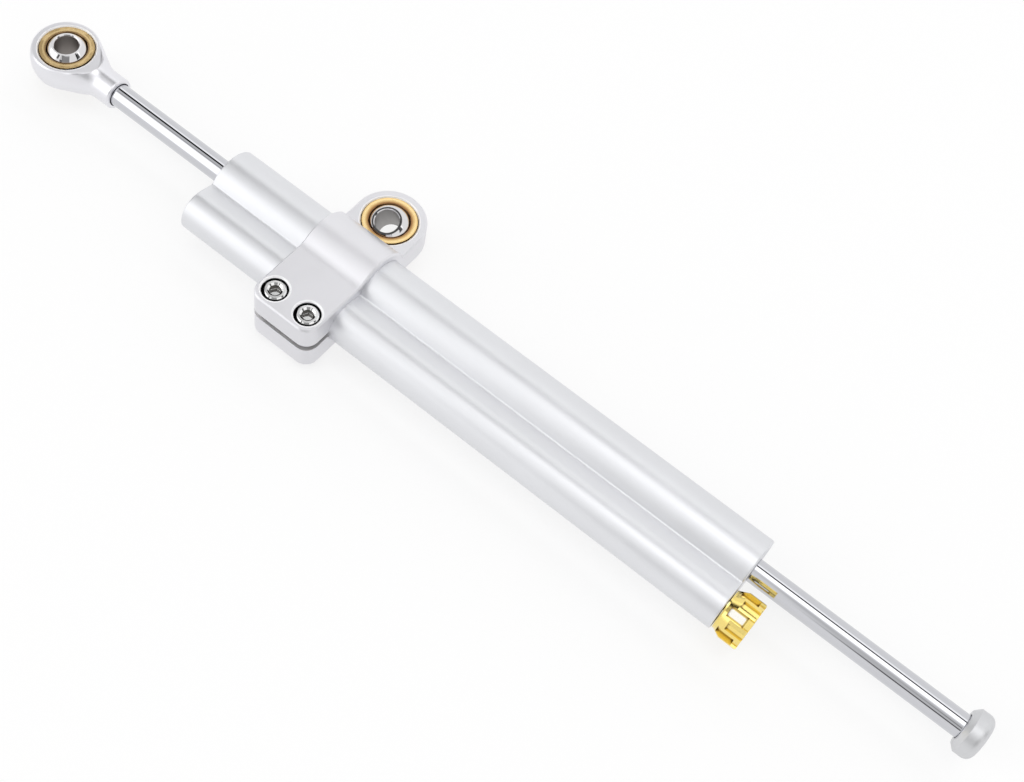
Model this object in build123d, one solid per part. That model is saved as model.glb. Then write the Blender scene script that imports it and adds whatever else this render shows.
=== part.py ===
from build123d import *
import os
from math import acos, atan2, cos, hypot, pi, radians, sin, sqrt

# Linear steering damper in millimetres, a through rod in a twin tube body.
# The origin is the centre of the clamp's pivot bearing. +X runs along the rod from the eye
# towards the adjuster knob, +Y runs from the tubes out through the pivot lug, and +Z is up.

# Gaps shared by many pieces
overrun = 3.0               # how far a cutting shape reaches past what it cuts
tolerance = 0.01            # how near an edge must be to count as lying on a plane
running_gap = 0.03          # radial gap of a sliding or turning fit
seat_gap = 0.02             # gap between two pieces that are fitted tightly
free_gap = 0.3              # gap between pieces that only pass each other
ring_gap = 0.05             # gap round a seal ring in its groove
ring_edge_share = 0.4       # how much of a seal ring's half width its broken edges take

# Places of the main pieces
rod_to_side_tube = 15.9     # from the rod's axis to the side tube's axis
pivot_to_body = 50.0        # from the pivot to the eye end of the body
pivot_to_eye = 123.6        # from the pivot to the rod eye's centre
pivot_to_button = 232.0     # from the pivot to the inner face of the end button
pivot_to_piston = 65.6      # from the pivot to the middle of the piston

# Body
body_length = 208.5
main_radius = 10.5
side_radius = 7.5
tube_wall = 2.5             # of both tubes
web_angle = 74.5            # degrees from the tubes' centre line to where the web leaves the side tube
valley_fillet = 0.8
mouth_round = 0.5
bore_chamfer = 0.4
port_radius = 1.5
eye_port_depth = 32.0       # from the eye end of the body to the port between the tubes

# Circlips
circlip_depth = 1.0         # from a tube's mouth to its circlip
circlip_thickness = 1.0
circlip_seat = 0.5          # how deep a circlip sits in its groove
circlip_width = 1.5
circlip_opening = 2.4
circlip_ear = 1.3
circlip_ear_hole = 0.5
side_circlip_width = 1.1
side_circlip_opening = 1.6
side_circlip_ear = 0.9
side_circlip_ear_hole = 0.35

# Rod guides, their bushes, seals, wipers and rings
guide_length = 14.0
wiper_wall = 1.8            # from the rod to the wiper's outside, as for the seal and the bush
wiper_length = 2.6
wiper_lip_width = 0.5
seal_wall = 2.0
seal_length = 3.0
seal_depth = 4.6            # from the guide's outer face to the rod seal
seal_channel_depth = 1.6
seal_channel_width = 0.4
bush_wall = 1.0
bush_length = 5.6
ring_groove_depth = 1.3
ring_groove_width = 1.9
guide_ring_depth = 10.6     # from the guide's outer face to the middle of its ring groove

# Piston
piston_length = 12.0
piston_ring_depth = 1.2
piston_ring_length = 4.0
piston_edge = 0.6
bleed_radius = 0.5
bleed_count = 4
rod_circlip_width = 1.7
rod_circlip_opening = 5.0

# Rod
rod_radius = 4.0
spigot_step = 0.8           # how much thinner the rod's reduced ends are
eye_spigot_length = 9.0
button_spigot_length = 4.2
rod_edge = 0.4
socket_gap = 0.3            # ring gap round the rod where it enters the eye and the button
eye_socket_depth = 2.0
button_socket_depth = 0.8

# Rod eye
eye_wall = 2.7              # round the race
neck_end = 15.2             # from the eye's centre to where the neck meets the shank
neck_blend = 8.0
shank_wall = 1.5            # round the rod
shank_end = 23.5
shank_round = 0.7
head_offset = 0.5           # from the race's centre to the head's, towards the tip
spot_face_margin = 1.1      # how far the spot face reaches past the head's flat
spot_face_corner = 1.0
spot_face_tip_radius = 6.3  # the spot face narrows to this where it runs into the neck
spot_face_tip = 7.8         # from the race's centre to the centre of that round
face_edge = 0.35
bore_edge = 0.45            # chamfer round each bearing's bore, in the eye and in the clamp

# Spherical bearings
ball_radius = 7.75
ball_width = 12.0
bearing_bore = 4.0
bearing_bore_chamfer = 0.35
liner_thickness = 0.22
liner_width = 3.6
bearing_width = 9.0         # of each race, flush with the metal round it
race_wall = 1.25            # at the middle of the race
race_step = 0.25            # how far the race's rims stand back from the metal round it
race_step_length = 0.8
race_lip = 0.35
pivot_ball_tilt = 15.0      # degrees about X, as the loose ball rests

# End button
button_length = 6.9
button_radius = 7.5
button_inner_chamfer = 1.6
button_outer_round = 2.6

# Clamp
lug_wall = 2.9              # round the race
bore_wall = 0.25            # the least metal between the race and the main tube
clamp_wall = 2.5            # round the tubes
clamp_corner = 4.5
clamp_edge = 0.5
clamp_blend = 5.0
clamp_slit = 2.4
clamp_gap = 0.05            # gap between the clamp and the tubes

# Clamp screws
screw_pitch = 13.2
tube_to_screws = 3.5        # from the side tube to the screws' axes
screws_to_front = 6.1       # from those to the clamp's front face
screw_radius = 2.0
screw_head_radius = 3.6
screw_head_height = 4.0
screw_head_edge = 0.4
screw_hex = 3.4
screw_hex_depth = 2.4
screw_hex_mouth = 2.5
screw_counterbore = 4.25
counterbore_edge = 0.4
screw_sink = 0.2            # how far a head lies below the clamp's face
screw_clearance = 0.25
screw_end_cover = 1.2       # clamp left below the end of a screw

# Adjuster knob
knob_base_radius = 6.7
knob_radius = 8.1
knob_length = 9.3
knob_flange = 0.5
knob_flare_end = 3.2
knob_edge = 0.35
knob_slot_count = 6
knob_slot_width = 3.0
knob_slot_floor = 6.2
knob_slot_start = 1.5
knob_slot_end = 7.4
knob_slot_step = 7.2
knob_slot_draft = 0.45      # how much wider a slot's mouth is on each side
knob_flute_width = 1.5
knob_flute_floor = 7.2
knob_flute_start = 3.4
knob_slot_angle = 115.6     # degrees from +Y to the first slot
knob_recess_radius = 4.9
knob_recess_depth = 1.2
detent_count = 12
detent_track_depth = 0.5
detent_dimple_radius = 0.7
detent_dimple_depth = 0.35
knob_screw_head = 2.8
knob_screw_sink = 1.5
knob_screw_radius = 1.2
knob_screw_length = 5.5
knob_screw_hex = 1.8
knob_screw_hex_depth = 0.9

# Adjuster valve
valve_wall = 1.5            # of the body round the valve housing
valve_depth = 0.2           # from the body's mouth to the valve housing's face
valve_length = 19.5
valve_ring_depth = 14.0
valve_ring_groove = 1.1
spindle_radius = 2.6
spindle_drive = 3.4
spindle_ring_depth = 5.0
spindle_ring_groove = 0.9
spindle_ring_width = 1.3
spindle_collar_radius = 3.6
spindle_collar_length = 1.5
spindle_collar_gap = 0.1
needle_radius = 1.5
needle_thread_gap = 0.05
needle_shank_length = 12.8
needle_end_room = 1.2       # between the needle's thread and the end of its bore
needle_room = 3.5           # from the spindle's collar to the needle's guide
needle_guide_length = 2.6
needle_guide_radius = 2.2
needle_guide_flats = 3.4
needle_guide_out = 0.4      # how much of the guide stands out of its pocket
needle_cone_length = 2.8
needle_cone_radius = 1.2
needle_tip_radius = 0.3
seat_length = 6.4
seat_pocket_depth = 3.2
seat_orifice = 1.3
detent_ball_radius = 1.0
detent_spring_length = 5.0
detent_spring_wire = 0.17
detent_spring_radius = 0.72
detent_spring_turns = 4

# Reservoir at the eye end of the side tube
plug_length = 6.0
plug_dimple_radius = 2.2
plug_dimple_depth = 2.0
floater_depth = 19.0        # from the eye end of the body to the middle of the floating piston
floater_length = 6.0
floater_cup_wall = 0.9
floater_cup_depth = 3.4
side_ring_groove = 1.1
side_ring_width = 1.6

# Values that follow from those above
race_inner = ball_radius + liner_thickness + running_gap + running_gap
race_radius = race_inner + race_wall
rod_y = -(race_radius + seat_gap + bore_wall + clamp_gap + main_radius)
side_y = rod_y - rod_to_side_tube
body_start = -pivot_to_body
body_end = body_start + body_length
eye_x = -pivot_to_eye
button_x = pivot_to_button
piston_x = pivot_to_piston
main_bore = main_radius - tube_wall
side_bore = side_radius - tube_wall
guide_depth = circlip_depth + circlip_thickness + ring_gap
spigot_radius = rod_radius - spigot_step
shank_radius = rod_radius + shank_wall
head_radius = race_radius + seat_gap + eye_wall
clamp_half_width = race_radius + seat_gap + lug_wall
clamp_half_height = side_radius + clamp_wall
dome_radius = main_radius + clamp_wall
knob_start = body_end + free_gap
screw_y = side_y - side_radius - tube_to_screws
front_y = screw_y - screws_to_front
knob_slot_step_angle = 360 / knob_slot_count
valve_radius = side_radius - valve_wall
detent_circle = (spindle_radius + valve_radius) / 2
collar_start = valve_depth + valve_length + spindle_collar_gap
collar_end = collar_start + spindle_collar_length
needle_guide_start = collar_end + needle_room
needle_guide_end = needle_guide_start + needle_guide_length
needle_start = needle_guide_start - needle_shank_length
needle_tip = needle_guide_end + needle_cone_length
seat_start = needle_guide_start + needle_guide_out
seat_end = seat_start + seat_length
seat_pocket_end = seat_start + seat_pocket_depth
knob_port_depth = (collar_end + seat_start) / 2


def bar(start, end, radius):
    # A round bar on the X axis.
    return extrude(Plane(origin=(start, 0, 0), z_dir=(1, 0, 0)) * Circle(radius), end - start)


def sleeve(start, end, inner, outer):
    # A round bar on the X axis with a hole along it.
    return bar(start, end, outer) - bar(start - overrun, end + overrun, inner)


def turned(*outline):
    # A solid turned about the X axis from its outline, given as places along X and radii.
    return revolve(make_face(Polyline(*outline, close=True)), Axis.X, 360)


def post(bottom, top, radius):
    # A round bar on the Z axis.
    return extrude(Plane(origin=(0, 0, bottom)) * Circle(radius), top - bottom)


def seal_ring(place, inner, outer):
    # A lathe-cut seal ring of square section with broken edges, between two radii.
    low = inner + ring_gap
    high = outer - ring_gap
    half = (high - low) / 2
    edge = half * ring_edge_share
    return turned((place - half, low + edge), (place - half + edge, low), (place + half - edge, low),
                  (place + half, low + edge), (place + half, high - edge), (place + half - edge, high),
                  (place - half + edge, high), (place - half, high - edge))


def at_eye_end(y, solid):
    # Places a solid drawn inwards along +X from a mouth at the origin.
    return Pos(body_start, y, 0) * solid


def at_knob_end(y, solid):
    # The same at the body's other end, turned to face inwards.
    return Pos(body_end, y, 0) * Rot(0, 0, 180) * solid


def across(x):
    # A plane square to the tubes, with its own X along +Y and its own Y along +Z.
    return Plane(origin=(x, 0, 0), x_dir=(0, 1, 0), z_dir=(1, 0, 0))


def twin_outline(x, gap):
    # The outline shared by the body and the clamp's bore: two circles and the flat web that runs
    # from the side tube to a crease on the main tube.
    web_radius = side_radius + gap
    lean = radians(web_angle)
    leave = (web_radius * cos(lean) - rod_to_side_tube, web_radius * sin(lean))
    meet = (0, (web_radius - rod_to_side_tube * cos(lean)) / sin(lean))
    web = make_face(Polyline(leave, meet, (meet[0], -meet[1]), (leave[0], -leave[1]), close=True))
    outline = Circle(main_radius + gap) + Pos(-rod_to_side_tube, 0) * Circle(web_radius) + web
    creases = outline.vertices().filter_by(lambda v: v.X > -main_radius and abs(v.Y) > tolerance)
    outline = fillet(creases, valley_fillet - gap)
    return Pos(0, rod_y, 0) * (across(x) * outline)


def damper_body():
    body = extrude(twin_outline(body_start, 0), body_length)
    mouths = body.edges().group_by(Axis.X)
    body = fillet(mouths[0] + mouths[-1], mouth_round)
    for place in (at_eye_end, at_knob_end):
        body -= place(rod_y, bored_mouth(main_bore))
    body -= at_eye_end(side_y, bored_mouth(side_bore))
    body -= Pos(0, rod_y, 0) * bar(body_start - overrun, body_end + overrun, main_bore)
    body -= Pos(0, side_y, 0) * bar(body_start - overrun, body_end + overrun, side_bore)
    body -= at_knob_end(side_y, bar(-overrun, valve_depth + valve_length + free_gap, valve_radius))
    for port_x in (body_start + eye_port_depth, body_end - knob_port_depth):
        port = extrude(Plane(origin=(port_x, side_y, 0), z_dir=(0, 1, 0)) * Circle(port_radius),
                       rod_to_side_tube)
        body -= port
    return body


def bored_mouth(bore):
    # The groove for a circlip and the chamfer at a tube's mouth.
    groove_start = circlip_depth - ring_gap
    groove_end = circlip_depth + circlip_thickness + ring_gap
    chamfer_start = (-overrun, bore + bore_chamfer + overrun)
    mouth = turned((-overrun, 0), chamfer_start, (bore_chamfer, bore), (bore_chamfer, 0))
    return mouth + bar(groove_start, groove_end, bore + circlip_seat)


def inner_circlip(bore, width, opening, ear, ear_hole):
    # An open ring that springs out into a bore, with an eye at each end of its opening.
    outer = bore + circlip_seat - ring_gap
    inner = outer - width
    ear_place = inner - ear / 2
    ring = Circle(outer) - Circle(inner)
    eyes = [Pos(side * (opening / 2 + ear), ear_place) * Circle(ear) for side in (-1, 1)]
    holes = [Pos(side * (opening / 2 + ear), ear_place) * Circle(ear_hole) for side in (-1, 1)]
    gap = Pos(0, outer) * Rectangle(opening, 2 * outer)
    flat = ring + eyes - holes - gap
    return extrude(across(circlip_depth) * flat, circlip_thickness)


def main_circlip():
    return inner_circlip(main_bore, circlip_width, circlip_opening, circlip_ear, circlip_ear_hole)


def side_circlip():
    return inner_circlip(side_bore, side_circlip_width, side_circlip_opening, side_circlip_ear,
                         side_circlip_ear_hole)


def rod_guide():
    start = guide_depth
    end = start + guide_length
    guide = bar(start, end, main_bore - seat_gap)
    ring_middle = start + guide_ring_depth
    floor = main_bore - ring_groove_depth
    half_groove = ring_groove_width / 2
    guide -= sleeve(ring_middle - half_groove, ring_middle + half_groove, floor, main_bore + overrun)
    guide -= bar(start - overrun, end + overrun, rod_radius + free_gap)
    guide -= bar(start - overrun, start + wiper_length, rod_radius + wiper_wall + seat_gap)
    guide -= bar(start + seal_depth, start + seal_depth + seal_length, rod_radius + seal_wall + seat_gap)
    guide -= bar(end - bush_length, end + overrun, rod_radius + bush_wall + seat_gap)
    return guide


def rod_wiper():
    # A dust wiper with a lip that leans out along the rod.
    start = guide_depth
    end = start + wiper_length - seat_gap
    inner = rod_radius + running_gap
    lip = inner + wiper_lip_width
    outer = rod_radius + wiper_wall
    middle = (start + end) / 2
    return turned((start, inner), (start, lip), (middle, lip), (start, outer), (end, outer), (end, lip),
                  (middle, inner))


def rod_seal():
    # A lip seal with its channel open towards the oil.
    start = guide_depth + seal_depth + seat_gap
    end = start + seal_length - seat_gap - seat_gap
    seal = sleeve(start, end, rod_radius + running_gap, rod_radius + seal_wall)
    channel_inner = rod_radius + (seal_wall - seal_channel_width) / 2
    channel_outer = channel_inner + seal_channel_width
    return seal - sleeve(end - seal_channel_depth, end + overrun, channel_inner, channel_outer)


def guide_bush():
    end = guide_depth + guide_length
    return sleeve(end - bush_length + seat_gap, end, rod_radius + running_gap, rod_radius + bush_wall)


def guide_ring():
    return seal_ring(guide_depth + guide_ring_depth, main_bore - ring_groove_depth, main_bore)


def piston():
    half = piston_length / 2
    edge = main_bore - running_gap - piston_edge
    outer = main_bore - running_gap
    solid = turned((-half, 0), (-half, edge), (piston_edge - half, outer), (half - piston_edge, outer),
                   (half, edge), (half, 0))
    groove = piston_ring_length / 2 + ring_gap
    solid -= sleeve(-groove, groove, main_bore - piston_ring_depth, main_bore + overrun)
    solid -= bar(-half - overrun, half + overrun, rod_radius + running_gap)
    bleed_circle = (rod_radius + main_bore - piston_ring_depth) / 2
    for index in range(bleed_count):
        bleed = Pos(0, 0, bleed_circle) * bar(-half - overrun, half + overrun, bleed_radius)
        solid -= Rot(index * 360 / bleed_count, 0, 0) * bleed
    return Pos(piston_x, rod_y, 0) * solid


def piston_ring():
    half = piston_ring_length / 2
    inner = main_bore - piston_ring_depth + ring_gap
    return Pos(piston_x, rod_y, 0) * sleeve(-half, half, inner, main_bore - running_gap)


def rod_circlip_places():
    # The outer face of each circlip, on both sides of the piston.
    reach = piston_length / 2 + ring_gap
    return (piston_x - reach - circlip_thickness, piston_x + reach)


def piston_circlips():
    outer = rod_radius + rod_circlip_width - circlip_seat
    ring = Circle(outer) - Circle(rod_radius - circlip_seat + ring_gap)
    flat = ring - Pos(0, outer) * Rectangle(rod_circlip_opening, 2 * outer)
    return [Pos(0, rod_y, 0) * extrude(across(place) * flat, circlip_thickness)
            for place in rod_circlip_places()]


def piston_rod():
    thick_start = eye_x + shank_end - eye_socket_depth
    thick_end = button_x + button_socket_depth
    spigot_start = thick_start - eye_spigot_length
    spigot_end = thick_end + button_spigot_length
    rod = turned((spigot_start, 0), (spigot_start, spigot_radius - rod_edge),
                 (spigot_start + rod_edge, spigot_radius), (thick_start, spigot_radius),
                 (thick_start, rod_radius - rod_edge), (thick_start + rod_edge, rod_radius),
                 (thick_end - rod_edge, rod_radius), (thick_end, rod_radius - rod_edge),
                 (thick_end, spigot_radius), (spigot_end - rod_edge, spigot_radius),
                 (spigot_end, spigot_radius - rod_edge), (spigot_end, 0))
    for place in rod_circlip_places():
        rod -= sleeve(place - ring_gap, place + circlip_thickness + ring_gap,
                      rod_radius - circlip_seat, rod_radius + overrun)
    return Pos(0, rod_y, 0) * rod


def eye_housing():
    # A ball-shaped head whose sides run on as a cone into a round shank.
    neck_reach = neck_end + head_offset
    reach = hypot(neck_reach, shank_radius)
    touch = atan2(shank_radius, neck_reach) + acos(head_radius / reach)
    over = (pi + touch) / 2
    head = Pos(-head_offset, 0) * ThreePointArc(
        (-head_radius, 0), (head_radius * cos(over), head_radius * sin(over)),
        (head_radius * cos(touch), head_radius * sin(touch)))
    side = Polyline(head @ 1, (neck_end, shank_radius), (shank_end, shank_radius), (shank_end, 0),
                    head @ 0)
    outline = make_face(head + side)
    neck = outline.vertices().sort_by_distance((neck_end, shank_radius))[0]
    outline = fillet(neck, neck_blend)
    rim = outline.vertices().sort_by_distance((shank_end, shank_radius))[0]
    outline = fillet(rim, shank_round)
    housing = revolve(outline, Axis.X, 360)
    half = bearing_width / 2
    cutter = spot_face_cutter()
    housing -= cutter + mirror(cutter, Plane.XY)
    flats = housing.edges().filter_by(lambda e: abs(abs(e.center().Z) - half) < tolerance)
    flats = flats.filter_by(lambda e: e.geom_type != GeomType.LINE and (e @ 0.5).X < head_radius)
    housing = chamfer(flats, face_edge)
    housing -= race_bore(half + overrun) + race_mouths()
    spigot_start = shank_end - eye_socket_depth - eye_spigot_length - seat_gap
    housing -= bar(spigot_start, shank_end + overrun, spigot_radius + seat_gap)
    housing -= bar(shank_end - eye_socket_depth - seat_gap, shank_end + overrun, rod_radius + socket_gap)
    return Pos(eye_x, rod_y, 0) * housing


def spot_face_cutter():
    # What is milled off over the head: a big circle and a small one, joined by their common tangents.
    half = bearing_width / 2
    big_radius = sqrt(head_radius ** 2 - half ** 2) + spot_face_margin
    lean = acos((big_radius - spot_face_tip_radius) / (spot_face_tip + head_offset))
    circles = ((-head_offset, big_radius), (spot_face_tip, spot_face_tip_radius))
    near, far = [(place + radius * cos(lean), radius * sin(lean)) for place, radius in circles]
    plan = make_face(Polyline(near, far, (far[0], -far[1]), (near[0], -near[1]), close=True))
    for place, radius in circles:
        plan += Pos(place, 0) * Circle(radius)
    cutter = extrude(Plane(origin=(0, 0, half)) * plan, head_radius + overrun - half)
    return fillet(cutter.edges().group_by(Axis.Z)[0], spot_face_corner)


def race_bore(reach):
    # The bore for a race.
    return post(-reach, reach, race_radius + seat_gap)


def race_mouths():
    # The chamfers round that bore, at both faces of the metal round the race.
    bore = race_radius + seat_gap
    mouth = Pos(0, 0, bearing_width / 2) * Cone(bore, bore + bore_edge + bore_edge, bore_edge + bore_edge)
    return mouth + mirror(mouth, Plane.XY)


def bearing_race():
    # A bronze ring with a hollow round inside that holds the ball.
    half = bearing_width / 2
    rim = half - race_step_length
    race = post(-half, half, race_radius - race_step) + post(-rim, rim, race_radius)
    race -= Sphere(race_inner)
    mouth = sqrt(race_inner ** 2 - half ** 2)
    cone = Cone(mouth - race_lip, mouth + race_lip + race_lip, race_lip + race_lip + race_lip)
    lift = half - race_lip / 2
    for lip in (Pos(0, 0, lift) * cone, Pos(0, 0, -lift) * Rot(180, 0, 0) * cone):
        race -= lip
    return race


def bearing_liner():
    # A thin sleeve between the race and the ball, which tilts with the ball.
    half = liner_width / 2
    outer = ball_radius + running_gap + liner_thickness
    shell = Sphere(outer) - Sphere(ball_radius + running_gap)
    return shell & post(-half, half, outer + overrun)


def bearing_ball():
    half = ball_width / 2
    ball = Sphere(ball_radius) & post(-half, half, ball_radius + overrun)
    ball -= post(-half - overrun, half + overrun, bearing_bore)
    mouths = ball.edges().filter_by(GeomType.CIRCLE)
    mouths = mouths.filter_by(lambda e: abs(e.radius - bearing_bore) < tolerance)
    return chamfer(mouths, bearing_bore_chamfer)


def at_eye(solid):
    return Pos(eye_x, rod_y, 0) * solid


def end_button():
    button = bar(0, button_length, button_radius)
    button = chamfer(button.edges().sort_by(Axis.X)[0], button_inner_chamfer)
    button = fillet(button.edges().sort_by(Axis.X)[-1], button_outer_round)
    spigot_end = button_socket_depth + button_spigot_length + seat_gap
    button -= bar(-overrun, spigot_end, spigot_radius + seat_gap)
    button -= bar(-overrun, button_socket_depth + seat_gap, rod_radius + socket_gap)
    return Pos(button_x, rod_y, 0) * button


def clamp_plan():
    # The clamp seen from above: square at the screws, round at the pivot.
    block = Pos(0, front_y / 2) * Rectangle(2 * clamp_half_width, -front_y)
    corners = block.vertices().group_by(Axis.Y)[0]
    return fillet(corners, clamp_corner) + Circle(clamp_half_width)


def clamp_section():
    # The clamp seen along the rod: flat over the side tube, a dome over the main tube, a thin lug.
    block = Pos((front_y + rod_y) / 2, 0) * Rectangle(rod_y - front_y, 2 * clamp_half_height)
    dome = Pos(rod_y, 0) * Circle(dome_radius)
    lug_end = clamp_half_width + overrun
    lug = Pos((rod_y + lug_end) / 2, 0) * Rectangle(lug_end - rod_y, bearing_width)
    section = block + dome + lug
    meeting = rod_y - sqrt(dome_radius ** 2 - clamp_half_height ** 2)
    steps = section.vertices().filter_by(lambda v: abs(v.X - meeting) < tolerance)
    return fillet(steps, clamp_blend)


def on_clamp_side(edge):
    # Whether an edge runs round the clamp as seen from above.
    middle = edge @ 0.5
    on_width = abs(abs(middle.X) - clamp_half_width) < tolerance
    on_front = middle.Y < front_y + clamp_corner - tolerance and abs(middle.Z) > tolerance
    on_lug = middle.Y > 0 and abs(hypot(middle.X, middle.Y) - clamp_half_width) < tolerance
    return (on_width or on_front or on_lug) and abs((edge % 0.5).Z) < 1 - tolerance


def clamp():
    blank = extrude(Plane(origin=(0, 0, -dome_radius)) * clamp_plan(), 2 * dome_radius)
    blank &= extrude(across(-clamp_half_width) * clamp_section(), 2 * clamp_half_width)
    blank = chamfer(blank.edges().filter_by(on_clamp_side), clamp_edge)
    reach = clamp_half_width + overrun
    blank -= extrude(twin_outline(-reach, clamp_gap), 2 * reach)
    slit_start = front_y - overrun
    blank -= Pos(0, (slit_start + side_y) / 2, 0) * Box(2 * reach, side_y - slit_start, clamp_slit)
    blank -= race_bore(dome_radius + overrun)
    lug_start = rod_y + sqrt(dome_radius ** 2 - (bearing_width / 2) ** 2)
    beside_dome = Pos(0, lug_start + reach, 0) * Box(2 * reach, 2 * reach, 2 * dome_radius)
    blank -= race_mouths() & beside_dome
    for screw_x in (-screw_pitch / 2, screw_pitch / 2):
        blank -= Pos(screw_x, screw_y, 0) * screw_hole()
    return blank


def screw_hole():
    floor = clamp_half_height - screw_sink - screw_head_height
    hole = post(floor, clamp_half_height + overrun, screw_counterbore)
    hole += Pos(0, 0, clamp_half_height) * Cone(screw_counterbore, screw_counterbore + counterbore_edge
                                                + counterbore_edge, counterbore_edge + counterbore_edge)
    hole += post(0, floor, screw_radius + screw_clearance)
    return hole + post(screw_end() - seat_gap, 0, screw_radius + seat_gap)


def screw_end():
    return screw_end_cover - clamp_half_height


def clamp_screw():
    floor = clamp_half_height - screw_sink - screw_head_height
    top = clamp_half_height - screw_sink
    head = post(floor, top, screw_head_radius)
    head = chamfer(head.edges().group_by(Axis.Z)[-1], screw_head_edge)
    mouth_height = screw_hex_mouth - screw_hex / 2
    mouth = Pos(0, 0, top - mouth_height / 2) * Cone(screw_hex / 2, screw_hex_mouth, mouth_height)
    socket = RegularPolygon(screw_hex / 2, 6, major_radius=False)
    socket = extrude(Plane(origin=(0, 0, top)) * socket, -screw_hex_depth)
    shank = post(screw_end(), floor, screw_radius)
    return head + shank - mouth - socket


def clamp_screws():
    return [Pos(place, screw_y, 0) * clamp_screw() for place in (-screw_pitch / 2, screw_pitch / 2)]


def adjuster_knob():
    # A flared knob with deep slots that step up at the outer end and shallow flutes between them.
    crown_end = knob_length - knob_edge
    knob = turned((0, 0), (0, knob_base_radius), (knob_flange, knob_base_radius),
                  (knob_flare_end, knob_radius), (crown_end, knob_radius),
                  (knob_length, knob_radius - knob_edge), (knob_length, 0))
    for index in range(knob_slot_count):
        angle = knob_slot_angle + index * knob_slot_step_angle
        deep = radial_slot(knob_slot_start, knob_slot_end, knob_slot_width, knob_slot_floor)
        shallow = radial_slot(knob_slot_end, knob_length + overrun, knob_slot_width, knob_slot_step)
        flute = radial_slot(knob_flute_start, knob_length + overrun, knob_flute_width, knob_flute_floor)
        knob -= Rot(angle, 0, 0) * (deep + shallow)
        knob -= Rot(angle + knob_slot_step_angle / 2, 0, 0) * flute
    knob -= bar(knob_length - knob_recess_depth, knob_length + overrun, knob_recess_radius)
    knob -= detent_track()
    for index in range(detent_count):
        knob -= Rot(knob_slot_angle + index * 360 / detent_count, 0, 0) * detent_dimple()
    drive = spindle_drive + seat_gap + seat_gap
    square = across(-overrun) * Rectangle(drive, drive)
    knob -= extrude(square, spindle_top() + ring_gap + overrun)
    knob -= knob_screw_space()
    return Pos(knob_start, side_y, 0) * knob


def radial_slot(start, end, width, floor):
    # A slot on the +Y side of the X axis, from its floor outwards, a little wider at its mouth.
    top = knob_radius + overrun
    half = width / 2
    half_mouth = half + knob_slot_draft * (top - floor) / (knob_radius - floor)
    section = Polyline((floor, -half), (top, -half_mouth), (top, half_mouth), (floor, half), close=True)
    return extrude(across(start) * make_face(section), end - start)


def detent_track():
    # The ring that the detent ball runs in.
    return sleeve(-overrun, detent_track_depth, detent_circle - detent_ball_radius,
                  detent_circle + detent_ball_radius)


def detent_dimple():
    # A drilled point in the track's floor that makes one click.
    dimple = turned((0, 0), (0, detent_dimple_radius), (detent_track_depth, detent_dimple_radius),
                    (detent_track_depth + detent_dimple_depth, 0))
    return Pos(0, detent_circle, 0) * dimple


def spindle_top():
    # How far the spindle's square reaches into the knob.
    return knob_length - knob_recess_depth - knob_screw_sink - ring_gap


def knob_screw_space():
    seat = knob_length - knob_recess_depth
    cone_end = seat - knob_screw_sink
    return turned((cone_end - overrun, 0), (cone_end - overrun, knob_screw_radius + seat_gap),
                  (cone_end, knob_screw_radius + seat_gap), (seat, knob_screw_head + seat_gap),
                  (seat + overrun, knob_screw_head + seat_gap), (seat + overrun, 0))


def knob_screw():
    seat = knob_length - knob_recess_depth
    cone_end = seat - knob_screw_sink
    tip = cone_end - knob_screw_length
    screw = turned((tip, 0), (tip, knob_screw_radius), (cone_end, knob_screw_radius),
                   (seat, knob_screw_head), (seat, 0))
    socket = RegularPolygon(knob_screw_hex / 2, 6, major_radius=False)
    screw -= extrude(across(seat) * socket, -knob_screw_hex_depth)
    return Pos(knob_start, side_y, 0) * screw


def adjuster_spindle():
    # Drawn inwards from the body's mouth: square end in the knob, round shaft, collar, threaded bore.
    square_end = -free_gap - spindle_top()
    spindle = bar(-ring_gap, collar_end, spindle_radius)
    spindle += bar(collar_start, collar_end, spindle_collar_radius)
    square = across(square_end) * Rectangle(spindle_drive, spindle_drive)
    spindle += extrude(square, -ring_gap - square_end)
    half = spindle_ring_width / 2
    floor = spindle_radius - spindle_ring_groove
    spindle -= sleeve(spindle_ring_depth - half, spindle_ring_depth + half, floor, valve_radius)
    spindle -= bar(needle_start - needle_end_room, collar_end + overrun, needle_radius + needle_thread_gap)
    screw_bore_end = square_end + knob_screw_length + ring_gap
    spindle -= bar(square_end - overrun, screw_bore_end, knob_screw_radius + seat_gap)
    return at_knob_end(side_y, spindle)


def spindle_ring():
    inner = spindle_radius - spindle_ring_groove
    return at_knob_end(side_y, seal_ring(spindle_ring_depth, inner, spindle_radius + running_gap))


def valve_housing():
    start = valve_depth
    end = start + valve_length
    housing = sleeve(start, end, spindle_radius + running_gap, valve_radius - seat_gap)
    half = ring_groove_width / 2
    floor = valve_radius - valve_ring_groove
    housing -= sleeve(valve_ring_depth - half, valve_ring_depth + half, floor, valve_radius + overrun)
    hole_end = detent_ball_place() + detent_spring_length + free_gap
    hole = bar(start - overrun, hole_end, detent_ball_radius + running_gap)
    housing -= detent_turn() * hole
    return at_knob_end(side_y, housing)


def detent_turn():
    # The detent's hole stands on its circle, in line with a dimple.
    return Rot(-knob_slot_angle, 0, 0) * Pos(0, -detent_circle, 0)


def detent_ball_place():
    # The ball's tip stands in the knob's track, just clear of its floor.
    return detent_ball_radius + ring_gap - free_gap - detent_track_depth


def valve_ring():
    return at_knob_end(side_y, seal_ring(valve_ring_depth, valve_radius - valve_ring_groove, valve_radius))


def detent_ball():
    ball = Pos(detent_ball_place(), 0, 0) * Sphere(detent_ball_radius)
    return at_knob_end(side_y, detent_turn() * ball)


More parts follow.
